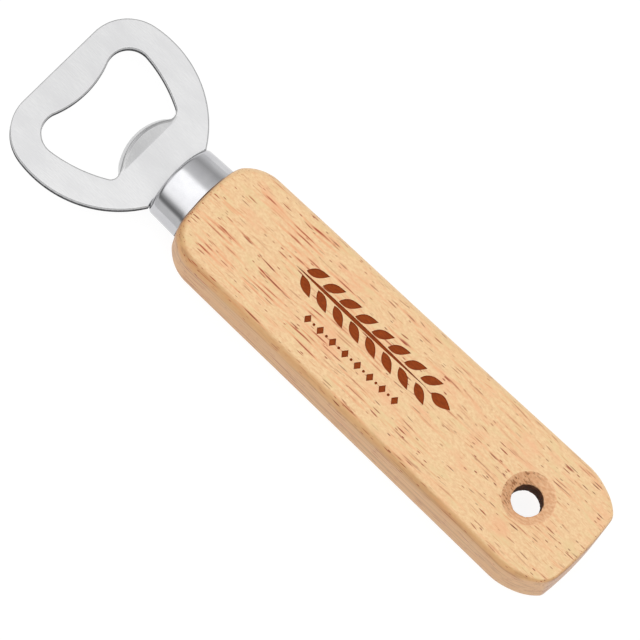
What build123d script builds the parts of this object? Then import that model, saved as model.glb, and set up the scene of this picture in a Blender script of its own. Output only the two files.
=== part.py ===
from build123d import *
from math import cos, radians, tan
import os

# A flat wooden-handled bottle opener.
#
# Frame, in millimetres: +X runs along the handle towards the steel head, +Y runs across
# the handle, and +Z points up out of the front face. The opener lies on its back face,
# z = 0, and the origin is under the centre of its bounding box.

# ---- Overall -------------------------------------------------------------------------
overall_length = 145.9
tip_x = overall_length / 2
tail_x = -overall_length / 2
contact_gap = 0.03          # parts that touch stand this far apart

# ---- Wooden handle -------------------------------------------------------------------
handle_thickness = 14.0
mid_z = handle_thickness / 2
shoulder_x = 24.0           # where the sides turn in towards the ferrule
shoulder_half_width = 13.2
waist_x = -20.0
waist_half_width = 13.6
haunch_x = -63.0            # where the sides turn in towards the tail
haunch_half_width = 14.2
tail_half_width = 9.5
tail_bow = 0.63             # how far the middle of the tail stands out
front_x = 32.15             # middle of the front face
front_half_width = 9.2
front_bow = 0.45
handle_edge_round = 1.8
tail_corner_round = 1.0

# ---- Hanging hole --------------------------------------------------------------------
hole_from_tail = 15.5
hole_radius = 3.4
countersink_radius = 5.4
front_countersink_depth = 2.0
back_countersink_depth = 6.4

# ---- Ferrule -------------------------------------------------------------------------
ferrule_crown_x = 40.05     # middle of its closed, domed end
ferrule_dome_radius = 43.5
ferrule_head_half_width = 8.85
ferrule_head_half_height = 5.65
ferrule_wood_half_width = 9.15
ferrule_wood_half_height = 5.85
ferrule_wall = 0.8
ferrule_rim_round = 0.7

# ---- Steel head ----------------------------------------------------------------------
plate_thickness = 2.0
head_side_x = 60.3          # the widest place of the head
head_half_width = 20.45
head_side_radius = 24.6
head_corner_radius = 9.8
window_side_x = 65.1        # the window is a lens cut by a bulging edge at each end
window_half_width = 14.5
window_side_radius = 32.2
window_corner_radius = 4.8
support_edge_x = 64.85      # the edge that rests on top of the cap
support_edge_radius = 21.5
lip_edge_x = 51.7           # the edge that hooks under the cap
lip_edge_y = -0.6           # the lip is punched a little off centre
lip_edge_radius = 11.75
lip_corner_radius = 1.8
lip_bend_x = 47.9           # from here on the lip is bent up
lip_bend_angle = 28.0
lip_bend_radius = 1.0       # inside the bend

# ---- Hidden tang and its bedding -----------------------------------------------------
tang_half_width = 6.75
tang_end_x = 9.0
tang_end_round = 2.0
bedding = 0.3               # adhesive on each side of the tang
bedding_at_end = 0.8
spigot_end_x = 38.0         # the wood reaches this far inside the ferrule


def disc(radius, x, y=0.0):
    """A filled circle in the XY plane."""
    return Pos(x, y) * Circle(radius)


def box_between(x0, x1, half_width, z0, z1):
    """A box from x0 to x1 and z0 to z1, centred on the XZ plane."""
    size = Box(x1 - x0, 2 * half_width, z1 - z0)
    return Pos((x0 + x1) / 2, 0, (z0 + z1) / 2) * size


def lens(radius, half_width, x):
    """The shape shared by two equal circles, half_width from the axis at x."""
    offset = radius - half_width
    return disc(radius, x, -offset) & disc(radius, x, offset)


def oval_tube(inset, x0, x1):
    """The ferrule's oval, made smaller by inset all round, from x0 to x1."""
    wood_x = front_x - front_bow
    reach = ferrule_crown_x - wood_x

    def oval_at(x):
        part_way = (x - wood_x) / reach
        half_width = ferrule_wood_half_width
        half_width += part_way * (ferrule_head_half_width - ferrule_wood_half_width)
        half_height = ferrule_wood_half_height
        half_height += part_way * (ferrule_head_half_height - ferrule_wood_half_height)
        plane = Plane(origin=(x, 0, mid_z), x_dir=(0, 1, 0), z_dir=(1, 0, 0))
        return plane * Ellipse(half_width - inset, half_height - inset)

    return loft([oval_at(x0), oval_at(x1)], ruled=True)


def upright_cylinder(radius, x):
    """A cylinder about the vertical line at x, tall enough to cut any part."""
    return Pos(x, 0, mid_z) * Cylinder(radius, 4 * handle_thickness)


def front_face_radius():
    """Radius of the handle's bowed front face, from its half width and its bow."""
    return (front_half_width**2 + front_bow**2) / (2 * front_bow)


def handle_outline():
    """The handle seen from the front, as one closed face."""
    side = ThreePointArc(
        (shoulder_x, shoulder_half_width),
        (waist_x, waist_half_width),
        (haunch_x, haunch_half_width),
    )
    shoulder = TangentArc(
        side @ 0,
        (front_x - front_bow, front_half_width),
        tangent=side % 0 * -1,
    )
    haunch = TangentArc(
        side @ 1,
        (tail_x + tail_bow, tail_half_width),
        tangent=side % 1,
    )
    half = Curve() + [shoulder, side, haunch]
    other_half = mirror(half, about=Plane.XZ)
    tail = ThreePointArc(
        (tail_x + tail_bow, tail_half_width),
        (tail_x, 0),
        (tail_x + tail_bow, -tail_half_width),
    )
    front = ThreePointArc(
        (front_x - front_bow, front_half_width),
        (front_x, 0),
        (front_x - front_bow, -front_half_width),
    )
    outline = make_face(Curve() + [half, other_half, tail, front])
    tail_corners = outline.vertices().sort_by(Axis.X)[:2]
    return fillet(tail_corners, tail_corner_round)


def hanging_hole():
    """The bore through the tail: a short countersink in front, a long one at the back."""
    bore = Pos(0, 0, mid_z) * Cylinder(hole_radius, 2 * handle_thickness)
    back = Cone(countersink_radius, hole_radius, back_countersink_depth)
    back = Pos(0, 0, back_countersink_depth / 2) * back
    front = Cone(hole_radius, countersink_radius, front_countersink_depth)
    front = Pos(0, 0, handle_thickness - front_countersink_depth / 2) * front
    return Pos(tail_x + hole_from_tail, 0, 0) * (bore + back + front)


def tang_slot():
    """The blind slot in the wood, wider than the tang by the bedding all round."""
    return box_between(
        tang_end_x - bedding_at_end,
        spigot_end_x,
        tang_half_width + bedding,
        mid_z - plate_thickness / 2 - bedding,
        mid_z + plate_thickness / 2 + bedding,
    )


def wooden_handle():
    """The solid wood handle, with the spigot that fills the ferrule."""
    blank = extrude(handle_outline(), handle_thickness)
    rim = blank.faces().sort_by(Axis.Z)[0].edges() + blank.faces().sort_by(Axis.Z)[-1].edges()
    blank = fillet(rim, handle_edge_round)
    spigot_start_x = front_x - 4.0
    spigot = oval_tube(ferrule_wall + contact_gap, spigot_start_x, spigot_end_x)
    return blank + spigot - hanging_hole() - tang_slot()


def ferrule():
    """The polished cap over the spigot, with a slot for the tang in its domed end."""
    beyond_x = ferrule_crown_x + 1.0
    dome_x = ferrule_crown_x - ferrule_dome_radius
    start_x = front_x - 2 * front_bow
    outer = oval_tube(0, start_x, beyond_x) & upright_cylinder(ferrule_dome_radius, dome_x)
    rim = outer.faces().sort_by(Axis.X)[-1].edges()
    outer = fillet(rim, ferrule_rim_round)
    hollow = oval_tube(ferrule_wall, start_x, beyond_x)
    hollow &= upright_cylinder(ferrule_dome_radius - ferrule_wall, dome_x)
    front_radius = front_face_radius() + contact_gap
    wood = upright_cylinder(front_radius, front_x + contact_gap - front_radius)
    slot = box_between(
        spigot_end_x,
        beyond_x,
        tang_half_width + contact_gap,
        mid_z - plate_thickness / 2 - contact_gap,
        mid_z + plate_thickness / 2 + contact_gap,
    )
    return outer - hollow - wood - slot


def lip_disc():
    """The circle that the free edge of the lip follows."""
    return disc(lip_edge_radius, lip_edge_x - lip_edge_radius, lip_edge_y)


def window():
    """The opening in the head that takes the cap, as a face."""
    opening = lens(window_side_radius, window_half_width, window_side_x)
    opening -= disc(support_edge_radius, support_edge_x + support_edge_radius)
    opening -= lip_disc()
    corners = opening.vertices().sort_by(Axis.X)
    opening = fillet(corners[-2:], window_corner_radius)
    corners = opening.vertices().sort_by(Axis.X)
    return fillet(corners[:2], lip_corner_radius)


def head_outline():
    """The steel plate seen from the front with its tang, before the window is cut."""
    outline = lens(head_side_radius, head_half_width, head_side_x)
    outline -= Pos(tip_x + head_half_width, 0) * Rectangle(2 * head_half_width, 4 * head_half_width)
    outline = fillet(outline.vertices().sort_by(Axis.X)[-2:], head_corner_radius)
    seat_radius = ferrule_dome_radius + contact_gap
    outline -= disc(seat_radius, ferrule_crown_x + contact_gap - seat_radius)
    root_x = ferrule_crown_x + 2.0
    tang = Pos((tang_end_x + root_x) / 2, 0) * Rectangle(root_x - tang_end_x, 2 * tang_half_width)
    tang = fillet(tang.vertices().sort_by(Axis.X)[:2], tang_end_round)
    return outline + tang


def lip_section():
    """Side view of the lip: a level run, then a slope up past the free edge."""
    top = mid_z + plate_thickness / 2
    bottom = top - plate_thickness
    angle = radians(lip_bend_angle)
    bottom_bend_x = lip_bend_x + plate_thickness * tan(angle / 2)
    run = lip_edge_x + 1.0 - bottom_bend_x
    slope_end = (lip_edge_x + 1.0, bottom + run * tan(angle))
    line = [
        (lip_bend_x - 1.0, bottom),
        (bottom_bend_x, bottom),
        slope_end,
        (slope_end[0], slope_end[1] + plate_thickness / cos(angle)),
        (lip_bend_x, top),
        (lip_bend_x - 1.0, top),
    ]
    section = Plane.XZ * make_face(Polyline(line, close=True))
    inside = (lip_bend_x, top, lip_bend_radius)
    outside = (bottom_bend_x, bottom, lip_bend_radius + plate_thickness)
    for x, z, radius in (inside, outside):
        bend = section.vertices().sort_by_distance((x, 0, z))[0]
        section = fillet(bend, radius)
    return section


def opener_head():
    """The stamped steel plate: ring, lip and hidden tang in one piece."""
    opening = window()
    start_x = lip_bend_x - 1.0
    past_x = lip_edge_x + 1.0
    bottom = mid_z - plate_thickness / 2
    strip = Pos((start_x + past_x) / 2, 0) * Rectangle(past_x - start_x, 2 * lip_edge_radius)
    lip_plan = (lip_disc() & strip) - opening
    lip_plan = lip_plan.faces().sort_by(lambda face: abs(face.center().Y))[0]
    flat = Pos(0, 0, bottom) * extrude(head_outline() - opening - lip_plan, plate_thickness)
    section = extrude(lip_section(), 2 * lip_edge_radius, both=True)
    lip = section & extrude(lip_plan, handle_thickness)
    return flat + lip


def tang_adhesive(handle_slot, head):
    """The cured bedding that fills the slot around the tang."""
    return handle_slot - head


def write_step(solid, name):
    export_step(solid, os.path.join("parts", name + ".step"))


os.makedirs("parts", exist_ok=True)
head = opener_head()
write_step(head, "opener_head")
write_step(ferrule(), "ferrule")
write_step(wooden_handle(), "wooden_handle")
write_step(tang_adhesive(tang_slot(), head), "tang_adhesive")
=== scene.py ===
from math import atan2, ceil, copysign, cos, pi, radians, sin, sqrt

import bmesh
import bpy
from mathutils import Matrix, Vector, noise
from mathutils.geometry import delaunay_2d_cdt


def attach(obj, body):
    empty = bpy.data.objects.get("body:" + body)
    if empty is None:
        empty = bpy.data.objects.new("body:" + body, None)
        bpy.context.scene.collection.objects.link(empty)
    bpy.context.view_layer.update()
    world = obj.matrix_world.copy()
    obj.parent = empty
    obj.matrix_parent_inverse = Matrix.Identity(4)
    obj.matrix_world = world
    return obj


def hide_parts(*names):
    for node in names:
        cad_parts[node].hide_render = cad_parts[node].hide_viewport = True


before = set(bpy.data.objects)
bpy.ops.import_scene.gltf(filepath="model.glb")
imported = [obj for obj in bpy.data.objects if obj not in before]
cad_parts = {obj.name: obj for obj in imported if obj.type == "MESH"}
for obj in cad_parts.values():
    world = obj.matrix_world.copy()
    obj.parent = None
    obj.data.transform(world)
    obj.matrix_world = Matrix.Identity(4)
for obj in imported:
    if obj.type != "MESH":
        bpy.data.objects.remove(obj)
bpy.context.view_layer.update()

# Shapes are worked out in millimetres, in the part's own frame: +X along the handle to the
# steel head, +Y across, +Z out of the front face, with the back face on z = 0.
MM = 0.001

# ---- Camera --------------------------------------------------------------------------
AIM = Vector((-1.7, 0.95, 7.0))
CAMERA_DISTANCE = 1084.6
CAMERA_ELEVATION = radians(73.775)
CAMERA_AZIMUTH = radians(109.305)
CAMERA_ROLL = radians(-24.788)
CAMERA_LENS_MM = 301.58

# ---- Studio --------------------------------------------------------------------------
FLOOR_HALF_WIDTH = 1500.0
FLOOR_GLOW = 0.9            # light of its own, which keeps the shadows faint
SKY_STRENGTH = 1.7
SKY_AT_ENDS = 0.6           # how much of that is left beyond the handle's two ends
SKY_ENDS = (0.5, 0.85)      # where it fades to that, as the X of a unit direction
# Brightness at degrees round from the +Y horizon, over the top, to the -Y horizon.
SKY_BANDS = (
    (0, 0.76), (28, 0.76), (36, 0.24), (42, 0.2), (50, 0.5), (59, 1.2), (68, 1.5), (84, 1.64),
    (109, 1.68), (116, 0.86), (132, 0.7), (149, 0.46), (158, 0.6), (169, 0.82), (180, 0.84),
)

# ---- Handle --------------------------------------------------------------------------
THICKNESS = 14.0
MID_Z = THICKNESS / 2
TIP_X = 72.7
TAIL_X = -72.95
SHOULDER = Vector((23.6, 13.2))
WAIST = Vector((-20.0, 13.6))
HAUNCH = Vector((-61.6, 14.05))
TAIL_HALF_WIDTH = 9.35
TAIL_BOW = 0.63             # how far the middle of the tail stands out
TAIL_CORNERS_FRONT = (5.5, 3.0)     # rounding of the tail's corners, on +Y and on -Y
TAIL_CORNERS_BACK = (1.8, 1.8)
FRONT_X = 32.15
FRONT_HALF_WIDTH = 9.2
FRONT_BOW = 0.8
FRONT_CORNER = 3.2
GAP = 0.03                  # parts that touch stand this far apart
SHARP_ANGLE = radians(35)   # edges that turn by more than this are shaded sharp

# How far the edges are rounded over, at places along the handle: front and back face.
ROUND_AT_FERRULE = (1.7, 1.7)
ROUND_AT_SHOULDER = (1.85, 2.3)
ROUND_AT_WAIST = (1.7, 2.1)
ROUND_AT_HAUNCH = (1.3, 1.9)
ROUND_AT_TAIL = (0.6, 1.0)
# Where one rounding turns into the next: from x to x, and beside the ferrule from y to y.
HAUNCH_TO_WAIST = (-60, -20)
WAIST_TO_SHOULDER = (8, 25)
SHOULDER_TO_FERRULE = (9.0, 6.4)
HAUNCH_TO_TAIL = (-66, -71)
# The front face was sanded flat last, so away from the ferrule the rounding meets it at this.
EDGE_BREAK = radians(28)
ROUND_STEPS = 7
SUPPORT_BAND = 0.12         # a narrow flat band that keeps the shading of the flat faces even

# ---- Hanging hole --------------------------------------------------------------------
HOLE_X = TAIL_X + 15.5
HOLE_RADIUS = 3.4
COUNTERSINK_RADIUS = 5.4
FRONT_COUNTERSINK = 2.0     # depths
BACK_COUNTERSINK = 6.4
FRONT_RIM = ((0.22, 0), (0.06, 0.05))   # the softened rim: how far out and how deep
FRONT_RIM_DEPTH = 0.15
BACK_RIM = 0.2
BACK_RIM_DEPTH = 0.1
SINK_STEPS = 8
BORE_STEPS = 6
HOLE_POINTS = 144
RIM_TEAR = 0.05             # how far the torn fibres stand out, on the faces and inside
HOLE_TEAR = 0.09

# ---- Ornament ------------------------------------------------------------------------
SPRIG_Y = -2.05
STEM_START_X = 9.1
STEM_END_X = -28.2
STEM_HALF_WIDTH = 0.42
BUD_START_X = -28.6
BUD_END_X = -33.85
BUD_HALF_WIDTH = 1.25
LEAF_PAIRS = 8
FIRST_LEAF_X = 6.6
LEAF_SPACING = 4.5
LEAF_ROOT = 0.66            # how far from the middle of the stem a leaf starts and ends
LEAF_TIP = 3.1
LEAF_LENGTH = 4.3
LEAF_HALF_WIDTH = 0.98
DIAMONDS = 8
FIRST_DIAMOND = Vector((-0.45, 4.43))
DIAMOND_SPACING = 3.43
DIAMOND_SIZE = (0.85, 1.08)     # half of its length and half of its height
DOT_RADIUS = 0.3
ENGRAVED_DEPTH = 0.22
ENGRAVED_SLOPE = 0.07       # how far the recess narrows towards its floor

# ---- Ferrule -------------------------------------------------------------------------
CROWN_X = 40.05
DOME_RADIUS = 43.5
OVAL_AT_WOOD = (9.15, 5.85)     # half width and half height
OVAL_AT_HEAD = (8.85, 5.65)
FERRULE_WALL = 0.8
OPEN_RIM = ((FERRULE_WALL / 2, 0), (0.14, 0), (0.05, 0.04), (0, 0.12))  # depth, way from wood
BODY_STEPS = 8
RIM_ROUND = 1.0
RIM_STEPS = 7
RING_POINTS = 160
SLOT_RIM = 0.12
SLOT_RIM_DEPTH = 0.1
SLOT_SQUARENESS = 0.16      # the power that makes an oval nearly a rectangle
SPIGOT_START_X = FRONT_X - 3
SPIGOT_END_X = 38.0
SPIGOT_CHAMFER = 0.3
SPIGOT_POINTS = 158         # keeps them off the middle line, where the wood's front has some

# ---- Steel head ----------------------------------------------------------------------
PLATE = 2.0
HEAD_SIDE_RADIUS = 24.6
HEAD_HALF_WIDTH = 20.45
HEAD_SIDE = Vector((60.3, HEAD_HALF_WIDTH - HEAD_SIDE_RADIUS))
HEAD_CORNER = 9.8
WINDOW_SIDE_RADIUS = 32.2
WINDOW_HALF_WIDTH = 14.5
WINDOW_SIDE = Vector((65.1, WINDOW_HALF_WIDTH - WINDOW_SIDE_RADIUS))
WINDOW_CORNER = 4.8
SUPPORT_EDGE_X = 64.85
SUPPORT_RADIUS = 21.5
SUPPORT = Vector((SUPPORT_EDGE_X + SUPPORT_RADIUS, 0))
LIP_EDGE_X = 51.7
LIP_RADIUS = 11.75
LIP = Vector((LIP_EDGE_X - LIP_RADIUS, -0.6))
LIP_CORNER = 1.8
LIP_HALF_WIDTH = 9.0
LIP_REACH_X = 58.0
LIP_PRESSED_X = 48.3        # from here on the lip looks pressed
LIP_BEND_START = 47.85
LIP_BEND = radians(28)
LIP_BEND_INSIDE = 0.2       # radius inside the bend
LIP_FULL_BEND = 6.4         # half the width over which the lip is bent all the way
BEND_STRIPS = 6             # strips that the lip is cut into: round the bend, up the slope
SLOPE_STRIPS = 4
SLOPE_STRIP = 0.7
SIDE_STRIPS = 12            # and across, in half of its width
FLAT_TILT = 0.995           # how upright the normals of its faces and of its rim are
RIM_TILT = 0.7
TOP_EDGE_ROUND = 0.3
BOTTOM_EDGE_ROUND = 0.12
EDGE_STEPS = 4
EDGE_SUPPORT = 0.04         # a narrow flat band beside the rounding, for even shading
LIP_EDGE_SOFTENING = 1.9    # how much larger the top rounding is on the lip
TANG_HALF_WIDTH = 6.75
TANG_END_X = 9.0
TANG_ROUND = 2.0
TANG_BEDDING = 0.3
TANG_BEDDING_END = 0.8

# Materials of the steel head and of the wood, in the order that their faces number them.
BRUSHED, SHEARED, LIP_FACE, LIP_SIDE, LIP_RIM = range(5)
WOOD, SCORCHED, DRILLED = range(3)


# ---- Plane geometry ------------------------------------------------------------------
def mirrored(point):
    return Vector((point.x, -point.y))


def crossing(centre_a, radius_a, centre_b, radius_b, side):
    """Where two circles cross, on the left (1) or right (-1) of the way from a to b."""
    way = centre_b - centre_a
    along = (radius_a**2 - radius_b**2 + way.length_squared) / (2 * way.length)
    across = sqrt(radius_a**2 - along**2)
    way.normalize()
    return centre_a + way * along + Vector((-way.y, way.x)) * across * side


def touch(centre, radius, towards):
    """The point of a circle on the line from its centre through another point."""
    return centre + (towards - centre).normalized() * radius


def arc(centre, start, end, step=0.5, count=None):
    """Points from start up to, but not including, end, the short way round centre."""
    radius = (start - centre).length
    first = atan2(start.y - centre.y, start.x - centre.x)
    last = atan2(end.y - centre.y, end.x - centre.x)
    sweep = (last - first + pi) % (2 * pi) - pi
    if count is None:
        count = max(4, ceil(abs(sweep) * radius / step), ceil(abs(sweep) / radians(6)))
    angles = [first + sweep * i / count for i in range(count)]
    return [centre + Vector((cos(a), sin(a))) * radius for a in angles]


def line(start, end, step=1.5):
    """Points from start up to, but not including, end."""
    count = max(1, ceil((end - start).length / step))
    return [start.lerp(end, i / count) for i in range(count)]


def centre_through(a, b, c):
    """The centre of the circle through three points."""
    d = 2 * (a.x * (b.y - c.y) + b.x * (c.y - a.y) + c.x * (a.y - b.y))
    x = a.length_squared * (b.y - c.y) + b.length_squared * (c.y - a.y)
    x += c.length_squared * (a.y - b.y)
    y = a.length_squared * (c.x - b.x) + b.length_squared * (a.x - c.x)
    y += c.length_squared * (b.x - a.x)
    return Vector((x / d, y / d))


def tangent_centre(side_centre, start, end):
    """Centre of the arc that leaves start along a circle about side_centre and reaches end."""
    inward = (side_centre - start).normalized()
    chord = end - start
    return start + inward * chord.length_squared / (2 * chord.dot(inward))


def rounded_corner(centre_a, radius_a, centre_b, radius_b, radius):
    """The rounding, on the +Y side, between two circles that it lies inside.

    Gives its centre and the points where it touches each circle."""
    reaches = (radius_a - radius, radius_b - radius)
    corners = [crossing(centre_a, reaches[0], centre_b, reaches[1], side) for side in (-1, 1)]
    corner = max(corners, key=lambda point: point.y)
    return corner, touch(centre_a, radius_a, corner), touch(centre_b, radius_b, corner)


def handle_half(tail_corner):
    """The +Y half of the handle's outline, always with the same number of points."""
    side = centre_through(SHOULDER, WAIST, HAUNCH)
    shoulder_end = Vector((FRONT_X - FRONT_BOW, FRONT_HALF_WIDTH))
    shoulder = tangent_centre(side, SHOULDER, shoulder_end)
    front_middle = Vector((FRONT_X, 0))
    front = centre_through(shoulder_end, front_middle, mirrored(shoulder_end))
    front_corner, front_end, shoulder_start = rounded_corner(
        front, (front_middle - front).length, shoulder, (SHOULDER - shoulder).length, FRONT_CORNER)
    tail_end = Vector((TAIL_X + TAIL_BOW, TAIL_HALF_WIDTH))
    haunch = tangent_centre(side, HAUNCH, tail_end)
    tail_middle = Vector((TAIL_X, 0))
    tail = centre_through(tail_end, tail_middle, mirrored(tail_end))
    corner, haunch_end, corner_end = rounded_corner(
        haunch, (HAUNCH - haunch).length, tail, (tail_middle - tail).length, tail_corner)
    half = arc(front, front_middle, front_end)
    half += arc(front_corner, front_end, shoulder_start, step=0.2)
    half += arc(shoulder, shoulder_start, SHOULDER)
    half += arc(side, SHOULDER, HAUNCH, step=1.5)
    half += arc(haunch, HAUNCH, haunch_end, count=24)
    half += arc(corner, haunch_end, corner_end, count=14)
    half += arc(tail, corner_end, tail_middle, count=16)
    return half + [tail_middle]


def closed(left, right):
    """A whole outline from two halves, both given on +Y and from axis to axis."""
    return left + [mirrored(p) for p in right[-2:0:-1]]


def handle_outline(tail_corners):
    """The handle seen from the front, counter-clockwise from the middle of its front."""
    return closed(*[handle_half(radius) for radius in tail_corners])


def head_outline():
    """The plate with its tang, counter-clockwise from the middle of its tip."""
    corner_x = TIP_X - HEAD_CORNER
    reach = HEAD_SIDE_RADIUS - HEAD_CORNER
    corner = Vector((corner_x, HEAD_SIDE.y + sqrt(reach**2 - (corner_x - HEAD_SIDE.x) ** 2)))
    seat_radius = DOME_RADIUS + GAP
    seat = Vector((CROWN_X + GAP - seat_radius, 0))
    tip_end = Vector((TIP_X, corner.y))
    corner_end = touch(HEAD_SIDE, HEAD_SIDE_RADIUS, corner)
    neck = crossing(seat, seat_radius, HEAD_SIDE, HEAD_SIDE_RADIUS, 1)
    root = Vector((seat.x + sqrt(seat_radius**2 - TANG_HALF_WIDTH**2), TANG_HALF_WIDTH))
    tang_corner = Vector((TANG_END_X + TANG_ROUND, TANG_HALF_WIDTH - TANG_ROUND))
    tang_side = tang_corner + Vector((0, TANG_ROUND))
    tang_end = tang_corner - Vector((TANG_ROUND, 0))
    tang_middle = Vector((TANG_END_X, 0))
    half = line(Vector((TIP_X, 0)), tip_end)
    half += arc(corner, tip_end, corner_end)
    half += arc(HEAD_SIDE, corner_end, neck)
    half += arc(seat, neck, root)
    half += line(root, tang_side)
    half += arc(tang_corner, tang_side, tang_end)
    half += line(tang_end, tang_middle)
    half.append(tang_middle)
    return closed(half, half)


def window_side(mirror):
    """One side of the window: its lip corner, long side and support corner, head-wards.

    mirror is 1 for the +Y side and -1 for the other one."""
    lens = Vector((WINDOW_SIDE.x, WINDOW_SIDE.y * mirror))
    lip_corner = crossing(
        LIP, LIP_RADIUS + LIP_CORNER, lens, WINDOW_SIDE_RADIUS - LIP_CORNER, mirror)
    support_corner = crossing(
        SUPPORT, SUPPORT_RADIUS + WINDOW_CORNER, lens, WINDOW_SIDE_RADIUS - WINDOW_CORNER, -mirror)
    lip_end = touch(LIP, LIP_RADIUS, lip_corner)
    side_start = touch(lens, WINDOW_SIDE_RADIUS, lip_corner)
    side_end = touch(lens, WINDOW_SIDE_RADIUS, support_corner)
    support_end = touch(SUPPORT, SUPPORT_RADIUS, support_corner)
    points = arc(lip_corner, lip_end, side_start, step=0.2)
    points += arc(lens, side_start, side_end)
    points += arc(support_corner, side_end, support_end, step=0.3)
    return points, lip_end, support_end


def window_outline():
    """The cap opening, counter-clockwise."""
    upper, upper_lip, upper_support = window_side(1)
    lower, lower_lip, lower_support = window_side(-1)
    lip = arc(LIP, lower_lip, upper_lip, step=0.3)
    support = arc(SUPPORT, upper_support, lower_support)
    clockwise = lip + upper + support + [lower_support] + lower[:0:-1]
    return clockwise[::-1]


def inset(outline, amounts):
    """A counter-clockwise outline moved to its left by an amount at each point.

    Points that would pass a sharp corner's mitre line stay on the mitre."""
    moved = []
    sharp = []
    count = len(outline)
    for i, here in enumerate(outline):
        before = (here - outline[i - 1]).normalized()
        after = (outline[(i + 1) % count] - here).normalized()
        left = Vector((-before.y - after.y, before.x + after.x))
        left /= max(0.3, 1 + before.dot(after))
        amount = amounts[i] if isinstance(amounts, list) else amounts
        moved.append(here + left * amount)
        if before.dot(after) < 0.9 and amount:
            sharp.append(i)
    for corner in sharp:
        origin = outline[corner]
        mitre = moved[corner] - origin
        for step in (-1, 1):
            i = (corner + step) % count
            while mitre.cross(moved[i] - origin) * mitre.cross(outline[i] - origin) < 0:
                moved[i] = moved[corner]
                i = (i + step) % count
    return moved


def inside(point, outline):
    """Whether a point is inside a closed outline."""
    found = False
    x, y = point
    before = outline[-1]
    for here in outline:
        if (here[1] > y) != (before[1] > y):
            if x < (before[0] - here[0]) * (y - here[1]) / (before[1] - here[1]) + here[0]:
                found = not found
        before = here
    return found


# ---- Mesh building -------------------------------------------------------------------
def add_ring(mesh, points, z):
    """New vertices for a closed ring at height z; points that coincide share one."""
    heights = z if isinstance(z, list) else [z] * len(points)
    ring = []
    for i, (point, height) in enumerate(zip(points, heights)):
        if i and (point - points[i - 1]).length < 1e-6:
            ring.append(ring[-1])
        else:
            ring.append(mesh.verts.new((point.x, point.y, height)))
    return ring


def bridge(mesh, ring_a, ring_b, material=0):
    """A band of faces between two rings of the same length."""
    for i in range(len(ring_a)):
        corners = []
        for vert in (ring_a[i - 1], ring_a[i], ring_b[i], ring_b[i - 1]):
            if vert not in corners:
                corners.append(vert)
        if len(corners) > 2:
            mesh.faces.new(corners).material_index = material


def bridge_all(mesh, rings, material=0):
    for ring_a, ring_b in zip(rings, rings[1:]):
        bridge(mesh, ring_a, ring_b, material)


def between(mesh, ring_a, ring_b, share):
    """A ring that lies a share of the way from one ring to another."""
    return [mesh.verts.new(a.co.lerp(b.co, share)) for a, b in zip(ring_a, ring_b)]


def fill(mesh, rings, material=0):
    """A flat face inside the first ring, left open inside the others."""
    rings = [[v for i, v in enumerate(ring) if v is not ring[i - 1]] for ring in rings]
    verts = [v for ring in rings for v in ring]
    edges = []
    start = 0
    for ring in rings:
        count = len(ring)
        edges += [(start + i, start + (i + 1) % count) for i in range(count)]
        start += count
    flat = [Vector((v.co.x, v.co.y)) for v in verts]
    loops = [[(v.co.x, v.co.y) for v in ring] for ring in rings]
    points, _, triangles, sources, _, _ = delaunay_2d_cdt(flat, edges, [], 0, 1e-6)
    for triangle in triangles:
        middle = sum((points[i] for i in triangle), Vector((0, 0))) / 3
        if sum(inside(middle, loop) for loop in loops) == 1:
            corners = [verts[sources[i][0]] for i in triangle]
            mesh.faces.new(corners).material_index = material


def finish_mesh(mesh, name, materials):
    """Turns a bmesh in millimetres into an object in metres."""
    bmesh.ops.recalc_face_normals(mesh, faces=mesh.faces)
    bmesh.ops.scale(mesh, vec=(MM, MM, MM), verts=mesh.verts)
    data = bpy.data.meshes.new(name)
    mesh.to_mesh(data)
    mesh.free()
    for polygon in data.polygons:
        polygon.use_smooth = True
    data.set_sharp_from_angle(angle=SHARP_ANGLE)
    for material in materials:
        data.materials.append(material)
    piece = bpy.data.objects.new(name, data)
    bpy.context.scene.collection.objects.link(piece)
    return piece


def smooth_step(low, high, value):
    """0 at low, 1 at high, with an even ease between them."""
    t = min(1, max(0, (value - low) / (high - low)))
    return t * t * (3 - 2 * t)


# ---- Steel head ----------------------------------------------------------------------
def edge_profile():
    """(inset, z) pairs down the plate's edge, and how many are above its upright part."""
    top = MID_Z + PLATE / 2
    bottom = MID_Z - PLATE / 2
    angles = [pi / 2 * i / EDGE_STEPS for i in range(EDGE_STEPS + 1)]
    profile = [(TOP_EDGE_ROUND + EDGE_SUPPORT, top)]
    for a in angles:
        profile.append((TOP_EDGE_ROUND * (1 - sin(a)), top - TOP_EDGE_ROUND * (1 - cos(a))))
    upper = len(profile)
    for a in angles:
        z = bottom + BOTTOM_EDGE_ROUND * (1 - sin(a))
        profile.append((BOTTOM_EDGE_ROUND * (1 - cos(a)), z))
    profile.append((BOTTOM_EDGE_ROUND + EDGE_SUPPORT, bottom))
    return profile, upper


def lip_share(point):
    """How much of the full bend the lip has at a point: 1 in its middle, 0 at its ends."""
    return smooth_step(LIP_HALF_WIDTH, LIP_FULL_BEND, abs(point.y - LIP.y))


def plate_edge(mesh, outline, into_steel, softening):
    """The plate's edge, its steel on the outline's left (into_steel 1) or right (-1).

    Gives its first and last ring."""
    top = MID_Z + PLATE / 2
    profile, upper = edge_profile()
    softer = [1 + softening * lip_share(p) * (p.x < LIP_REACH_X) for p in outline]
    rings = []
    for i, (depth, z) in enumerate(profile):
        scales = softer if i < upper else [1] * len(outline)
        insets = [depth * into_steel * scale for scale in scales]
        heights = [top - (top - z) * scale for scale in scales]
        rings.append(add_ring(mesh, inset(outline, insets), heights))
    bridge_all(mesh, rings[:upper], BRUSHED)
    # The upright edge takes the sheared material, which is painted in shade.
    bridge(mesh, rings[upper - 1], rings[upper], SHEARED)
    bridge_all(mesh, rings[upper:], BRUSHED)
    return rings[0], rings[-1]


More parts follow.
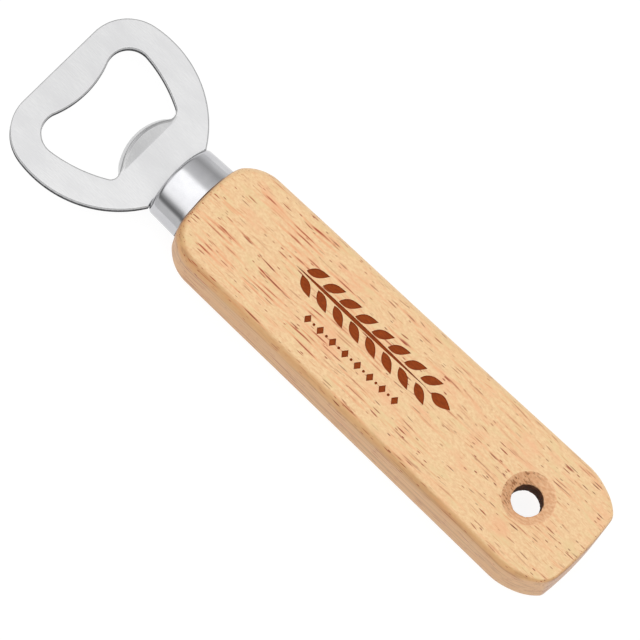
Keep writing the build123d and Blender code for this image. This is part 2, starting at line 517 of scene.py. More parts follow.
def cut_lip(mesh):
    """Cuts the flat plate into strips, across and then along the lip, so that it can curve."""
    curved = LIP_BEND * (LIP_BEND_INSIDE + PLATE / 2)
    across = [LIP_BEND_START + curved * i / BEND_STRIPS for i in range(BEND_STRIPS + 1)]
    across += [LIP_BEND_START + curved + SLOPE_STRIP * i for i in range(1, SLOPE_STRIPS + 1)]
    for cut_x in across:
        everything = mesh.verts[:] + mesh.edges[:] + mesh.faces[:]
        bmesh.ops.bisect_plane(mesh, geom=everything, plane_co=(cut_x, 0, 0), plane_no=(1, 0, 0))
    for i in range(1 - SIDE_STRIPS, SIDE_STRIPS):
        faces = [face for face in mesh.faces if on_lip(face.calc_center_median())]
        parts = dict.fromkeys(part for face in faces for part in face.verts[:] + face.edges[:])
        place = (0, LIP.y + LIP_HALF_WIDTH * i / SIDE_STRIPS, 0)
        bmesh.ops.bisect_plane(mesh, geom=faces + list(parts), plane_co=place, plane_no=(0, 1, 0))


def on_lip(point):
    on_width = abs(point.y - LIP.y) < LIP_HALF_WIDTH
    return on_width and LIP_BEND_START < point.x < LIP_REACH_X


def bend_lip(mesh):
    """Bends the lip up about a line across the plate, keeping its length and thickness."""
    neutral = LIP_BEND_INSIDE + PLATE / 2
    for vert in mesh.verts:
        past = vert.co.x - LIP_BEND_START
        if past <= 1e-6 or not on_lip(vert.co):
            continue
        curved = LIP_BEND * lip_share(vert.co) * neutral
        angle = min(past, curved) / neutral
        straight = max(0, past - curved)
        arm = neutral - (vert.co.z - MID_Z)
        vert.co.x = LIP_BEND_START + arm * sin(angle) + straight * cos(angle)
        vert.co.z = MID_Z + neutral - arm * cos(angle) + straight * sin(angle)


def lip_material(face):
    """Which material a face of the pressed part of the lip has."""
    if abs(face.normal.z) > FLAT_TILT:
        return LIP_FACE
    return LIP_RIM if face.normal.z > RIM_TILT else LIP_SIDE


def steel_head(materials):
    """The stamped plate: ring, bent lip and hidden tang in one piece."""
    mesh = bmesh.new()
    outer = plate_edge(mesh, head_outline(), 1, 0)
    window = plate_edge(mesh, window_outline(), -1, LIP_EDGE_SOFTENING - 1)
    for outer_ring, window_ring in zip(outer, window):
        fill(mesh, [outer_ring, window_ring])
    cut_lip(mesh)
    mesh.normal_update()
    for face in mesh.faces:
        middle = face.calc_center_median()
        if on_lip(middle) and middle.x > LIP_PRESSED_X:
            face.material_index = lip_material(face)
    bend_lip(mesh)
    return finish_mesh(mesh, "steel_head", materials)


# ---- Ferrule -------------------------------------------------------------------------
def oval_size(x):
    """Half width and half height of the ferrule at x."""
    part_way = (x - (FRONT_X - FRONT_BOW)) / (CROWN_X - (FRONT_X - FRONT_BOW))
    return [w + part_way * (h - w) for w, h in zip(OVAL_AT_WOOD, OVAL_AT_HEAD)]


def dome_x(y):
    return CROWN_X - DOME_RADIUS + sqrt(DOME_RADIUS**2 - y * y)


def inner_dome_x(y):
    return dome_x(y) - FERRULE_WALL


def wood_front_x(y):
    return FRONT_X - FRONT_BOW * (y / FRONT_HALF_WIDTH) ** 2


def open_end_x(y):
    """Where the ferrule's open end stands, just clear of the wood."""
    return wood_front_x(y) + GAP


def ferrule_ring(mesh, depth, along, count=RING_POINTS):
    """A ring of the ferrule's oval, made smaller by depth; along(y) gives its x."""
    ring = []
    for i in range(count):
        turn = 2 * pi * i / count
        x = (FRONT_X + CROWN_X) / 2
        for _ in range(3):
            half_width, half_height = oval_size(x)
            y = (half_width - depth) * cos(turn)
            x = along(y)
        z = (half_height - depth) * sin(turn)
        ring.append(mesh.verts.new((x, y, MID_Z + z)))
    return ring


def slot_ring(mesh, grow, along):
    """The edge of the tang's slot, made larger by grow: nearly a rectangle."""
    half_width = TANG_HALF_WIDTH + GAP + grow
    half_height = PLATE / 2 + GAP + grow

    def squared(value):
        return copysign(abs(value) ** SLOT_SQUARENESS, value)

    ring = []
    for i in range(RING_POINTS):
        turn = 2 * pi * i / RING_POINTS
        y = half_width * squared(cos(turn))
        z = half_height * squared(sin(turn))
        ring.append(mesh.verts.new((along(y), y, MID_Z + z)))
    return ring


def ferrule_outside(mesh):
    """Rings over the ferrule, from its open end to the edge of its domed end."""
    rings = [ferrule_ring(mesh, depth, lambda y: open_end_x(y) + way) for depth, way in OPEN_RIM]
    body_start = OPEN_RIM[-1][1]
    for i in range(1, BODY_STEPS + 1):
        share = i / BODY_STEPS
        rings.append(ferrule_ring(mesh, 0, lambda y: (
            (open_end_x(y) + body_start) * (1 - share) + (dome_x(y) - RIM_ROUND) * share)))
    for i in range(1, RIM_STEPS + 1):
        angle = pi / 2 * i / RIM_STEPS
        back = RIM_ROUND * (1 - sin(angle))
        rings.append(ferrule_ring(mesh, RIM_ROUND * (1 - cos(angle)), lambda y: dome_x(y) - back))
    rings.append(ferrule_ring(mesh, RIM_ROUND + SLOT_RIM_DEPTH, dome_x))
    return rings


def polished_ferrule(materials):
    """The ferrule as one skin: its outside, the domed end with its slot, and its inside."""
    mesh = bmesh.new()
    rings = ferrule_outside(mesh)
    slot_edge = slot_ring(mesh, SLOT_RIM, dome_x)
    for share in (0.25, 0.5, 0.75):
        dome_ring = between(mesh, rings[-1], slot_edge, share)
        for vert in dome_ring:
            vert.co.x = dome_x(vert.co.y)
        rings.append(dome_ring)
    rings += [
        slot_edge,
        slot_ring(mesh, 0, lambda y: dome_x(y) - SLOT_RIM_DEPTH),
        slot_ring(mesh, 0, inner_dome_x),
        ferrule_ring(mesh, FERRULE_WALL, inner_dome_x),
        ferrule_ring(mesh, FERRULE_WALL, open_end_x),
    ]
    bridge_all(mesh, rings + rings[:1])
    return finish_mesh(mesh, "polished_ferrule", materials)


# ---- Wooden grip ---------------------------------------------------------------------
def beside_ferrule(point):
    """1 where the outline meets the ferrule, 0 away from it."""
    return smooth_step(*SHOULDER_TO_FERRULE, abs(point.y)) * (point.x > 0)


def edge_round(point, face):
    """How far the edge is rounded over at a point of the outline (face 0 front, 1 back)."""
    radius = ROUND_AT_HAUNCH[face]
    places = (
        (ROUND_AT_WAIST, ROUND_AT_HAUNCH, smooth_step(*HAUNCH_TO_WAIST, point.x)),
        (ROUND_AT_SHOULDER, ROUND_AT_WAIST, smooth_step(*WAIST_TO_SHOULDER, point.x)),
        (ROUND_AT_FERRULE, ROUND_AT_SHOULDER, beside_ferrule(point)),
        (ROUND_AT_TAIL, ROUND_AT_HAUNCH, smooth_step(*HAUNCH_TO_TAIL, point.x)),
    )
    for here, before, share in places:
        radius += (here[face] - before[face]) * share
    return radius


def edge_break(point):
    """The angle at which the rounding leaves the front face at a point of the outline."""
    return EDGE_BREAK * (1 - beside_ferrule(point))


def leaf(root, tip, half_width, steps=9):
    """A pointed oval from root to tip."""
    way = tip - root
    across = Vector((-way.y, way.x)).normalized() * half_width

    def edge(share, side):
        return root + way * share + across * (side * sin(pi * share**0.85))

    there = [edge(i / steps, -1) for i in range(steps)]
    back = [edge(1 - i / steps, 1) for i in range(steps)]
    return there + back


def diamond(centre, half_length, half_height):
    across = Vector((half_length, 0))
    up = Vector((0, half_height))
    corners = [centre + across, centre + up, centre - across, centre - up]
    points = []
    for start, end in zip(corners, corners[1:] + corners[:1]):
        points += line(start, end, step=0.5)
    return points


def dot(centre, radius, steps=14):
    angles = [2 * pi * i / steps for i in range(steps)]
    return [centre + Vector((cos(a), sin(a))) * radius for a in angles]


def ornament():
    """The outlines burnt into the front: a sprig of leaves over a row of diamonds."""
    stem = Vector((STEM_START_X, SPRIG_Y)), Vector((STEM_END_X, SPRIG_Y))
    bud = Vector((BUD_START_X, SPRIG_Y)), Vector((BUD_END_X, SPRIG_Y))
    shapes = [leaf(*stem, STEM_HALF_WIDTH, steps=30), leaf(*bud, BUD_HALF_WIDTH)]
    for i in range(LEAF_PAIRS):
        root_x = FIRST_LEAF_X - LEAF_SPACING * i
        for side in (-1, 1):
            root = Vector((root_x, SPRIG_Y + side * LEAF_ROOT))
            tip = Vector((root_x - LEAF_LENGTH, SPRIG_Y + side * LEAF_TIP))
            shapes.append(leaf(root, tip, LEAF_HALF_WIDTH))
    for i in range(DIAMONDS):
        centre = FIRST_DIAMOND - Vector((DIAMOND_SPACING * i, 0))
        shapes.append(diamond(centre, *DIAMOND_SIZE))
        if i:
            shapes.append(dot(centre + Vector((DIAMOND_SPACING / 2, 0)), DOT_RADIUS))
    return shapes


def is_counter_clockwise(outline):
    area = 0
    for a, b in zip(outline, outline[1:] + outline[:1]):
        area += a.x * b.y - b.x * a.y
    return area > 0


def engrave(mesh, outline):
    """A shallow recess with a burnt floor; returns its rim, which the top is cut to."""
    if not is_counter_clockwise(outline):
        outline = outline[::-1]
    rim = add_ring(mesh, outline, THICKNESS)
    middle = sum(outline, Vector((0, 0))) / len(outline)
    slopes = [min(0.5, ENGRAVED_SLOPE / max((middle - p).length, 1e-6)) for p in outline]
    floor_points = [p + (middle - p) * slope for p, slope in zip(outline, slopes)]
    floor = add_ring(mesh, floor_points, THICKNESS - ENGRAVED_DEPTH)
    bridge(mesh, rim, floor, SCORCHED)
    fill(mesh, [floor], SCORCHED)
    return rim


def hole_profile():
    """(radius, z) pairs down the hanging hole, from the front face to the back face."""
    sink = COUNTERSINK_RADIUS - HOLE_RADIUS
    profile = [(COUNTERSINK_RADIUS + out, THICKNESS - depth) for out, depth in FRONT_RIM]
    for i in range(1, SINK_STEPS + 1):
        share = i / SINK_STEPS
        depth = FRONT_RIM_DEPTH + (FRONT_COUNTERSINK - FRONT_RIM_DEPTH) * share
        profile.append((COUNTERSINK_RADIUS - sink * share, THICKNESS - depth))
    bore_length = THICKNESS - FRONT_COUNTERSINK - BACK_COUNTERSINK
    for i in range(1, BORE_STEPS + 1):
        profile.append((HOLE_RADIUS, THICKNESS - FRONT_COUNTERSINK - bore_length * i / BORE_STEPS))
    for i in range(1, SINK_STEPS + 1):
        share = i / SINK_STEPS
        height = BACK_COUNTERSINK * (1 - share) + BACK_RIM_DEPTH * share
        profile.append((HOLE_RADIUS + sink * share, height))
    profile.append((COUNTERSINK_RADIUS + BACK_RIM, 0))
    return profile


def hanging_hole(mesh):
    """The drilled and countersunk hole, with the torn fibres that a drill leaves."""
    rings = []
    for radius, z in hole_profile():
        ring = []
        tear_size = RIM_TEAR if z in (0, THICKNESS) else HOLE_TEAR
        for i in range(HOLE_POINTS):
            turn = 2 * pi * i / HOLE_POINTS
            place = Vector((cos(turn) * radius, sin(turn) * radius, z))
            tear = noise.noise(place * Vector((0.9, 2.2, 0.8)))
            tear += 0.6 * noise.noise(place * Vector((2.5, 5.0, 2.0)))
            reach = radius + tear_size * tear
            ring.append(mesh.verts.new((HOLE_X + reach * cos(turn), reach * sin(turn), z)))
        rings.append(ring)
    bridge_all(mesh, rings, DRILLED)
    return rings[0], rings[-1]


def rounded_edge(mesh, outline, face):
    """Rings from a flat face, over its rounded edge, to the sides (face 0 front, 1 back)."""
    widths = [edge_round(p, face) for p in outline]
    starts = [0 if face else edge_break(p) for p in outline]
    radii = [width / (1 - sin(start)) for width, start in zip(widths, starts)]

    def height(depth):
        return depth if face else THICKNESS - depth

    rings = [add_ring(mesh, inset(outline, [w + SUPPORT_BAND for w in widths]), height(0))]
    for i in range(ROUND_STEPS + 1):
        angles = [start + (pi / 2 - start) * i / ROUND_STEPS for start in starts]
        insets = [r * (1 - sin(angle)) for r, angle in zip(radii, angles)]
        depths = [r * (cos(start) - cos(angle)) for r, start, angle in zip(radii, starts, angles)]
        heights = [height(depth) for depth in depths]
        rings.append(add_ring(mesh, inset(outline, insets), heights))
    return rings


def grip_rings(mesh):
    """The rounded sides of the handle, from the front face round to the back face."""
    front = rounded_edge(mesh, handle_outline(TAIL_CORNERS_FRONT), 0)
    back = rounded_edge(mesh, handle_outline(TAIL_CORNERS_BACK), 1)
    sides = [between(mesh, front[-1], back[-1], share) for share in (0.25, 0.5, 0.75)]
    rings = front + sides + back[::-1]
    bridge_all(mesh, rings)
    return rings[0], rings[-1]


def tang_slot():
    """The blind slot for the tang, as a bmesh to cut with."""
    start_x = TANG_END_X - TANG_BEDDING_END
    end_x = SPIGOT_END_X + 1
    width = 2 * (TANG_HALF_WIDTH + TANG_BEDDING)
    size = Matrix.Diagonal((end_x - start_x, width, PLATE + 2 * TANG_BEDDING, 1))
    place = Matrix.Translation(((start_x + end_x) / 2, 0, MID_Z))
    mesh = bmesh.new()
    bmesh.ops.create_cube(mesh, size=1, matrix=place @ size)
    return mesh


def spigot():
    """The oval end of the wood that fills the ferrule."""
    mesh = bmesh.new()
    depth = FERRULE_WALL + GAP
    places = (
        (depth, SPIGOT_START_X),
        (depth, SPIGOT_END_X - SPIGOT_CHAMFER),
        (depth + SPIGOT_CHAMFER, SPIGOT_END_X),
    )
    rings = [ferrule_ring(mesh, inwards, lambda y: x, SPIGOT_POINTS) for inwards, x in places]
    bridge_all(mesh, rings)
    mesh.faces.new(rings[0])
    mesh.faces.new(rings[-1])
    return mesh


def combine(piece, mesh, operation):
    """Adds a bmesh in millimetres to a piece, or cuts it away."""
    tool = finish_mesh(mesh, "tool", [])
    modifier = piece.modifiers.new("combine", "BOOLEAN")
    modifier.operation = operation
    modifier.solver = "EXACT"
    modifier.object = tool
    combined = piece.evaluated_get(bpy.context.evaluated_depsgraph_get())
    result = bpy.data.meshes.new_from_object(combined)
    piece.modifiers.remove(modifier)
    result.name = piece.data.name
    piece.data = result
    bpy.data.objects.remove(tool)


def wood_grip(materials):
    """The handle: rounded, engraved, drilled, with its spigot and the slot for the tang."""
    mesh = bmesh.new()
    front, back = grip_rings(mesh)
    hole_front, hole_back = hanging_hole(mesh)
    rims = [engrave(mesh, shape) for shape in ornament()]
    fill(mesh, [front, hole_front] + rims, WOOD)
    fill(mesh, [back, hole_back], WOOD)
    piece = finish_mesh(mesh, "wood_grip", materials)
    combine(piece, spigot(), "UNION")
    combine(piece, tang_slot(), "DIFFERENCE")
    piece.data.set_sharp_from_angle(angle=SHARP_ANGLE)
    return piece


# ---- Materials -----------------------------------------------------------------------
class Graph:
    """A node tree, built up one node at a time."""

    def __init__(self, tree):
        self.tree = tree

    def node(self, kind, inputs=None, **settings):
        made = self.tree.nodes.new(kind)
        for key, value in settings.items():
            setattr(made, key, value)
        for key, value in (inputs or {}).items():
            self.feed(made.inputs[key], value)
        return made

    def feed(self, socket, value):
        if isinstance(value, bpy.types.NodeSocket):
            self.tree.links.new(value, socket)
        else:
            socket.default_value = value

    def vector(self, operation, a, b):
        return self.node("ShaderNodeVectorMath", {0: a, 1: b}, operation=operation).outputs[0]

    def axis(self, place, name):
        return self.node("ShaderNodeSeparateXYZ", {0: place}).outputs[name]

    def math(self, operation, a, b=0.0):
        return self.node("ShaderNodeMath", {0: a, 1: b}, operation=operation).outputs[0]

    def remap(self, value, low, high, to_low=0.0, to_high=1.0, kind="SMOOTHSTEP"):
        made = self.node("ShaderNodeMapRange", {
            "Value": value, "From Min": low, "From Max": high,
            "To Min": to_low, "To Max": to_high}, interpolation_type=kind)
        return made.outputs["Result"]

    def pattern(self, place, frequency, detail=2.0, roughness=0.5, output="Fac"):
        """Noise, its frequency per millimetre given for each axis."""
        return self.node("ShaderNodeTexNoise", {
            "Vector": self.vector("MULTIPLY", place, frequency),
            "Scale": 1.0, "Detail": detail, "Roughness": roughness}).outputs[output]

    def mix(self, share, a, b):
        inputs = {0: share, 6: a, 7: b}
        return self.node("ShaderNodeMix", inputs, data_type="RGBA").outputs[2]

    def blend(self, pattern, a, b):
        """Colour a where a pattern is low, b where it is high."""
        return self.mix(self.remap(pattern, 0.3, 0.7), a, b)


class Surface(Graph):
    """The node tree of a new material."""

    def __init__(self, name):
        self.material = bpy.data.materials.new(name)
        self.material.use_nodes = True
        super().__init__(self.material.node_tree)

    def finish(self, **values):
        """Feeds the shader's inputs and gives the material."""
        shader = self.tree.nodes["Principled BSDF"]
        for key, value in values.items():
            self.feed(shader.inputs[key.replace("_", " ")], value)
        return self.material

    def place(self):
        """Where the surface is, in millimetres."""
        place = self.node("ShaderNodeTexCoord").outputs["Object"]
        return self.vector("MULTIPLY", place, (1 / MM,) * 3)

    def bump(self, height, strength, distance_mm):
        inputs = {"Height": height, "Strength": strength, "Distance": distance_mm * MM}
        return self.node("ShaderNodeBump", inputs).outputs["Normal"]


def srgb(red, green, blue):
    """A linear colour from 0 to 255 screen values."""
    def linear(value):
        value /= 255
        return value / 12.92 if value <= 0.04045 else ((value + 0.055) / 1.055) ** 2.4
    return (linear(red), linear(green), linear(blue), 1)


def grey(value):
    return srgb(value, value, value)


WOOD_PALE = srgb(248, 213, 163)
WOOD_FLECK = srgb(236, 191, 142)
WOOD_STRAW = srgb(236, 206, 152)
WOOD_PINK = srgb(244, 182, 137)
WOOD_BLUSH = srgb(240, 164, 116)
WOOD_HAIR = srgb(220, 148, 98)
WOOD_PORE = srgb(174, 66, 18)
WOOD_DEEP_PORE = srgb(132, 44, 10)
# The sides in painted light and shade: pale on the lit -Y side, browner as painted shade on the +Y
# side, where the fine streaks are real grain.
WOOD_LIT_SIDE = srgb(240, 200, 148)
WOOD_SHADED_SIDE = srgb(206, 152, 94)
WOOD_SIDE_STREAK = srgb(170, 114, 60)
WOOD_END = srgb(204, 164, 128)
WOOD_END_RING = srgb(174, 130, 98)

# Dashes along the grain: spacing along and across it, size in that, share kept, and a shift.
HAIRS = (5.5, 0.42, 0.28, 0.75, 31.3)
BLUSHES = (14.0, 0.66, 0.6, 0.75, 3.1)
SPECKS = (2.2, 0.5, 0.27, 0.35, 23.9)
SHORT_PORES = (6.0, 0.55, 0.28, 0.6, 11.7)
LONG_PORES = (14.0, 0.66, 0.28, 0.8, 3.1)
PITH = (0.0, -26.0, -48.0)      # the rings of the end grain run about this line


def dashes(graph, place, length, width, size, kept, shift):
    """Dashes along the grain: how strong the dash is here, and a chance value for it."""
    stretched = graph.vector("MULTIPLY", place, (1 / length, 1 / width, 1 / width))
    stretched = graph.vector("ADD", stretched, (shift, shift * 1.7, shift * 0.6))
    cells = graph.node("ShaderNodeTexVoronoi", {"Vector": stretched, "Scale": 1.0}, feature="F1")
    dash = graph.remap(cells.outputs["Distance"], size, size * 0.5)
    chance = graph.node("ShaderNodeSeparateColor", {"Color": cells.outputs["Color"]})
    strength = graph.remap(chance.outputs[0], 1 - kept, 1.1 - kept * 0.5, kind="LINEAR")
    return graph.math("MULTIPLY", dash, strength), chance.outputs[1]


def grain_place(graph):
    """Where the surface is, bent a little across the handle so that the grain wanders."""
    place = graph.place()
    bend = graph.pattern(place, (0.05, 0.16, 0.16), output="Color")
    bend = graph.vector("SUBTRACT", bend, (0.5, 0.5, 0.5))
    return graph.vector("ADD", place, graph.vector("MULTIPLY", bend, (0.0, 2.4, 2.4)))


def face_colour(graph, place):
    """Flecks, straw and pink patches, fine hairs, and blushes that grow towards the head."""
    straw = graph.pattern(place, (0.16, 0.42, 0.42), 3.0)
    pink = graph.pattern(place, (0.1, 0.3, 0.3), 4.0, 0.6)
    colour = graph.blend(graph.pattern(place, (1.1, 2.4, 2.4), 3.0, 0.7), WOOD_PALE, WOOD_FLECK)
    colour = graph.mix(graph.remap(straw, 0.5, 0.68, 0, 0.6), colour, WOOD_STRAW)
    colour = graph.mix(graph.remap(pink, 0.5, 0.7, 0, 0.6), colour, WOOD_PINK)
    hair, _ = dashes(graph, place, *HAIRS)
    colour = graph.mix(graph.math("MULTIPLY", hair, 0.6), colour, WOOD_HAIR)
    blush, _ = dashes(graph, place, *BLUSHES)
    growth = graph.remap(graph.axis(place, "X"), -50, 20, 0.3, 0.6)
    return graph.mix(graph.math("MULTIPLY", blush, growth), colour, WOOD_BLUSH)


def shaded_side_colour(graph, place, colour):
    """The long sides, in painted light and shade: browner and finely lined on +Y, pale on -Y."""
    lines = graph.pattern(place, (0.012, 0.6, 1.1), 5.0, 0.6)
    side = graph.mix(graph.remap(lines, 0.46, 0.66), WOOD_SHADED_SIDE, WOOD_SIDE_STREAK)
    side = graph.mix(graph.remap(graph.axis(place, "Y"), -9, 9), WOOD_LIT_SIDE, side)
    return graph.mix(0.75, colour, side)


def end_colour(graph, place):
    """The sawn end: growth rings about a pith far below the handle, and fine pores."""
    flat = graph.vector("MULTIPLY", graph.vector("SUBTRACT", place, PITH), (0.0, 1.0, 1.0))
    radius = graph.node("ShaderNodeVectorMath", {0: flat}, operation="LENGTH").outputs["Value"]
    wander = graph.math("MULTIPLY", graph.pattern(place, (0.1, 0.12, 0.12)), 6.0)
    turns = graph.math("FRACT", graph.math("MULTIPLY", graph.math("ADD", radius, wander), 0.3))
    colour = graph.mix(graph.remap(turns, 0.35, 1.0, 0, 0.8), WOOD_END, WOOD_END_RING)
    dots = graph.pattern(place, (2.0, 5.0, 5.0), 3.0, 0.7)
    return graph.mix(graph.remap(dots, 0.55, 0.7, 0, 0.6), colour, WOOD_PORE)


def add_pores(graph, place, colour):
    """Pores of three lengths, fewer and darker to the tail: the colour, and how open they are."""
    along = graph.axis(place, "X")
    crowding = graph.remap(graph.pattern(place, (0.07, 0.2, 0.2)), 0.35, 0.55, 0.55, 1)
    local = graph.mix(graph.remap(along, -20, 20), WOOD_DEEP_PORE, WOOD_PORE)
    openness = 0.0
    for kind in (SPECKS, SHORT_PORES, LONG_PORES):
        pore, chance = dashes(graph, place, *kind)
        if kind is LONG_PORES:
            pore = graph.math("MULTIPLY", pore, graph.remap(along, -50, 15, 0.5, 1))
        pore = graph.math("MULTIPLY", pore, crowding)
        tint = graph.mix(graph.remap(chance, 0.55, 0.8), WOOD_PORE, WOOD_DEEP_PORE)
        colour = graph.mix(pore, colour, graph.mix(0.4, tint, local))
        openness = graph.math("MAXIMUM", openness, pore)
    return colour, openness


def wood_material():
    """Light, open-pored rubberwood under a thin lacquer."""
    graph = Surface("rubberwood")
    place = grain_place(graph)
    normal = graph.node("ShaderNodeTexCoord").outputs["Normal"]
    upright = graph.math("ABSOLUTE", graph.axis(normal, "Z"))
    lengthwise = graph.math("ABSOLUTE", graph.axis(normal, "X"))
    colour = face_colour(graph, place)
    side = shaded_side_colour(graph, place, colour)
    # The roundings and sides take the side colour, so edges turning away from the top carry the
    # painted shade.
    colour = graph.mix(graph.remap(upright, 0.995, 0.6), colour, side)
    colour = graph.mix(graph.remap(lengthwise, 0.75, 0.95), colour, end_colour(graph, place))
    colour, openness = add_pores(graph, place, colour)
    grain = graph.pattern(place, (0.3, 5.0, 5.0), 3.0)
    height = graph.math("SUBTRACT", graph.math("MULTIPLY", grain, 0.2), openness)
    return graph.finish(
        Base_Color=colour,
        Roughness=graph.remap(grain, 0.3, 0.7, 0.45, 0.55),
        Normal=graph.bump(height, 0.15, 0.05),
        Coat_Weight=0.12,
        Coat_Roughness=0.25,
        Specular_IOR_Level=0.4,
    )


def drilled_wood_material():
    """The hole's wall: torn, pinkish fibres near the faces, with painted shade deep in the bore
    and on its +X side.
    """
    graph = Surface("drilled_wood")
    place = graph.place()
    fibre = graph.pattern(place, (1.0, 2.6, 1.2), 5.0)
    # Painted shade: darker patches and a browner cast on the +X side of the countersinks.
    shade_patches = graph.pattern(place, (0.5, 2.6, 1.2), 4.0)
    shade_towards_x = graph.remap(graph.axis(place, "X"), HOLE_X - 1, HOLE_X + 4)
    shade_patches = graph.math("MULTIPLY", graph.remap(shade_patches, 0.52, 0.62), shade_towards_x)
    torn = graph.mix(graph.remap(fibre, 0.3, 0.65), srgb(253, 210, 166), srgb(236, 182, 138))
    torn = graph.mix(graph.math("MULTIPLY", shade_towards_x, 0.35), torn, srgb(190, 136, 94))
    torn = graph.mix(graph.math("MULTIPLY", shade_patches, 0.8), torn, srgb(150, 96, 60))
    # Painted shade: the middle of the bore is deep brown, where shade falls.
    bore_shade = graph.blend(fibre, srgb(118, 70, 38), srgb(66, 36, 20))
    painted_shade_distance = graph.math("ABSOLUTE", graph.math("SUBTRACT", graph.axis(place, "Z"), MID_Z))
    return graph.finish(
        Base_Color=graph.mix(graph.remap(painted_shade_distance, 4.2, 5.3), bore_shade, torn),
        Roughness=0.8,
        Specular_IOR_Level=0.1,
        Normal=graph.bump(fibre, 0.6, 0.2),
    )


def scorched_wood_material():
    """Wood burnt brown by the engraving."""
    graph = Surface("scorched_wood")
    fibre = graph.pattern(graph.place(), (0.8, 4.0, 4.0), 4.0)
    return graph.finish(
        Base_Color=graph.blend(fibre, srgb(158, 68, 14), srgb(132, 54, 10)),
        Roughness=0.75,
        Specular_IOR_Level=0.2,
        Normal=graph.bump(fibre, 0.3, 0.06),
    )


def brushed_steel_material(name, shade):
    """Stainless steel brushed lengthwise; shade is its middle grey on a screen."""
    graph = Surface(name)
    place = graph.place()
    fine = graph.pattern(place, (0.5, 4.5, 4.5), 5.0, 0.7)
    cloud = graph.pattern(place, (0.1, 0.25, 0.25), 4.0)
    dull = srgb(shade - 9, shade - 9, shade - 8)
    colour = graph.blend(fine, dull, grey(shade + 9))
    return graph.finish(
        Base_Color=graph.mix(graph.remap(cloud, 0.4, 0.65, 0, 0.5), colour, dull),
        Metallic=1.0,
        Roughness=graph.remap(fine, 0.3, 0.7, 0.3, 0.42),
        Anisotropic=0.5,
        Normal=graph.bump(fine, 0.3, 0.012),
    )


def lip_rim_painted_shade_material():
    """The softened rim of the lip, with a painted shade streak that is darkest in the middle of
    the lip.
    """
    graph = Surface("pressed_lip_rim_painted_shade")
    place = graph.place()
    rim_noise = graph.pattern(place, (2.0, 0.6, 2.0), 4.0)
    painted_shade_distance = graph.math("ABSOLUTE", graph.math("SUBTRACT", graph.axis(place, "Y"), LIP.y))
    # Painted shade: darkest within 2.5 mm of the lip's middle, fading to plain grey by 6 mm.
    dull = graph.blend(rim_noise, srgb(150, 150, 151), srgb(170, 170, 171))
    return graph.finish(
        Base_Color=graph.mix(graph.remap(painted_shade_distance, 2.5, 6.0), dull, grey(184)),
        Metallic=1.0,
        Roughness=graph.remap(rim_noise, 0.3, 0.7, 0.35, 0.5),
        Normal=graph.bump(rim_noise, 0.3, 0.01),
    )


def shaded_sheared_steel_material():
    """The punched edge of the plate: burnished above and torn in its lower half, under painted
    shade that is darkest in the torn half.
    """
    graph = Surface("sheared_edge_painted_shade")
    place = graph.place()
    drag = graph.pattern(place, (2.5, 2.5, 0.4), 3.0)
    # Painted shade: both greys are far below the steel's own, and the torn lower half is deepest,
    # partly for its real dull finish.
    burnished = graph.blend(drag, srgb(120, 120, 122), srgb(164, 164, 166))
    torn = graph.blend(drag, srgb(42, 42, 44), srgb(74, 74, 76))
    low = graph.remap(graph.axis(place, "Z"), MID_Z + 0.25 * PLATE, MID_Z)
    return graph.finish(
        Base_Color=graph.mix(low, burnished, torn),
        Metallic=graph.remap(low, 0, 1, 1, 0.2),
        Specular_IOR_Level=0.1,
        Roughness=graph.remap(low, 0, 1, 0.35, 0.7),
        Normal=graph.bump(drag, 0.4, 0.03),
    )


def polished_steel_material():
    """The ferrule's mirror finish, with faint turning marks and smudges."""
    graph = Surface("polished_ferrule_steel")
    place = graph.place()
    turning = graph.pattern(place, (6.0, 0.3, 0.3), 3.0)
    smudge = graph.pattern(place, (0.25, 0.25, 0.25), 3.0)
    return graph.finish(
        Base_Color=graph.blend(smudge, srgb(204, 204, 206), srgb(196, 196, 199)),
        Metallic=1.0,
        Roughness=graph.remap(smudge, 0.3, 0.7, 0.1, 0.16),
        Normal=graph.bump(turning, 0.05, 0.004),
    )


def adhesive_material():
    """Cured resin, amber and slightly cloudy."""
    graph = Surface("cured_resin")
    cloud = graph.pattern(graph.place(), (0.6, 0.6, 0.6), 4.0)
    return graph.finish(
        Base_Color=graph.blend(cloud, srgb(214, 190, 140), srgb(190, 160, 105)),
        Roughness=graph.remap(cloud, 0.3, 0.7, 0.2, 0.35),
        Normal=graph.bump(cloud, 0.3, 0.1),
    )


# ---- Studio --------------------------------------------------------------------------
def add_camera():
    """A long lens, almost overhead, rolled so that the head points to the upper left."""
    turn = Matrix.Rotation(CAMERA_AZIMUTH, 3, "Z") @ Matrix.Rotation(-CAMERA_ELEVATION, 3, "Y")
    towards_camera = turn @ Vector((1, 0, 0))
    right = turn @ Vector((0, 1, 0))
    up = turn @ Vector((0, 0, 1))
    basis = Matrix((right, up, towards_camera)).transposed()
    basis = basis @ Matrix.Rotation(-CAMERA_ROLL, 3, "Z")
    place = (AIM + towards_camera * CAMERA_DISTANCE) * MM
    data = bpy.data.cameras.new("photo_camera")
    data.sensor_width = 36.0
    data.lens = CAMERA_LENS_MM
    data.clip_start = 0.01
    camera = bpy.data.objects.new("photo_camera", data)
    camera.matrix_world = Matrix.Translation(place) @ basis.to_4x4()
    bpy.context.scene.collection.objects.link(camera)
    bpy.context.scene.camera = camera


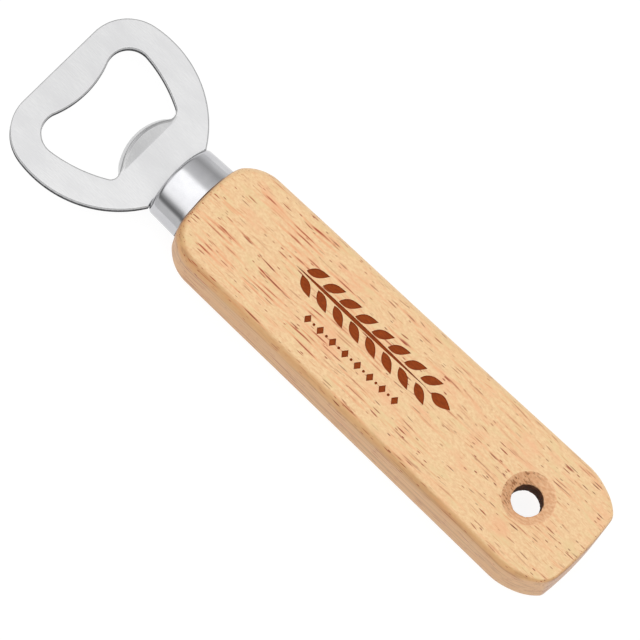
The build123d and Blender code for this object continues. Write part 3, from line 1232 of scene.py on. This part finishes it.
def add_floor():
    """A wide pale table."""
    graph = Surface("pale_table")
    cloud = graph.pattern(graph.place(), (0.02, 0.02, 0.02))
    material = graph.finish(
        Base_Color=graph.mix(cloud, (0.14, 0.14, 0.14, 1), (0.16, 0.16, 0.16, 1)),
        Roughness=0.9,
        Specular_IOR_Level=0.0,
        Emission_Color=(1, 1, 1, 1),
        Emission_Strength=FLOOR_GLOW,
    )
    half = FLOOR_HALF_WIDTH * MM
    corners = [(-half, -half, 0), (half, -half, 0), (half, half, 0), (-half, half, 0)]
    data = bpy.data.meshes.new("floor")
    data.from_pydata(corners, [], [(0, 1, 2, 3)])
    data.materials.append(material)
    floor = bpy.data.objects.new("floor", data)
    bpy.context.scene.collection.objects.link(floor)


def add_sky():
    """A soft studio: bright overhead, a darker band low on each side, dimmer at both ends."""
    world = bpy.data.worlds.new("studio")
    world.use_nodes = True
    graph = Graph(world.node_tree)
    way = graph.node("ShaderNodeTexCoord").outputs["Generated"]
    angle = graph.math("ARCTAN2", graph.axis(way, "Z"), graph.axis(way, "Y"))
    ramp = graph.node("ShaderNodeValToRGB", {"Fac": graph.math("DIVIDE", angle, pi)})
    elements = ramp.color_ramp.elements
    while len(elements) < len(SKY_BANDS):
        elements.new(0.5)
    for element, (degrees, brightness) in zip(elements, SKY_BANDS):
        element.position = degrees / 180
        element.color = (brightness / SKY_STRENGTH,) * 3 + (1,)
    towards_end = graph.math("ABSOLUTE", graph.axis(way, "X"))
    strength = graph.remap(towards_end, *SKY_ENDS, SKY_STRENGTH, SKY_AT_ENDS * SKY_STRENGTH)
    background = graph.tree.nodes["Background"]
    graph.feed(background.inputs["Color"], ramp.outputs["Color"])
    graph.feed(background.inputs["Strength"], strength)
    bpy.context.scene.world = world


# ---- Assembly ------------------------------------------------------------------------
add_camera()
add_sky()
add_floor()
bpy.context.scene.view_settings.view_transform = "Standard"

steel_materials = [
    brushed_steel_material("brushed_stainless", 200),
    # The plate's edge, in painted shade.
    shaded_sheared_steel_material(),
    # Lit copies of the brushed steel: the bent lip's face and upright end are painted lighter than
    # the plate, as painted light.
    brushed_steel_material("pressed_lip_painted_light", 210),
    brushed_steel_material("pressed_lip_edge_painted_light", 208),
    # The lip's rim, with its painted shade streak.
    lip_rim_painted_shade_material(),
]
wood_materials = [wood_material(), scorched_wood_material(), drilled_wood_material()]
pieces = [
    (steel_head(steel_materials), "opener_head", "head_steel"),
    (polished_ferrule([polished_steel_material()]), "ferrule", "ferrule_polish"),
    (wood_grip(wood_materials), "wooden_handle", "handle_wood"),
]
for piece, node, slot in pieces:
    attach(piece, "root")
    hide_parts(node)

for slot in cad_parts["tang_adhesive"].material_slots:
    slot.material = adhesive_material()
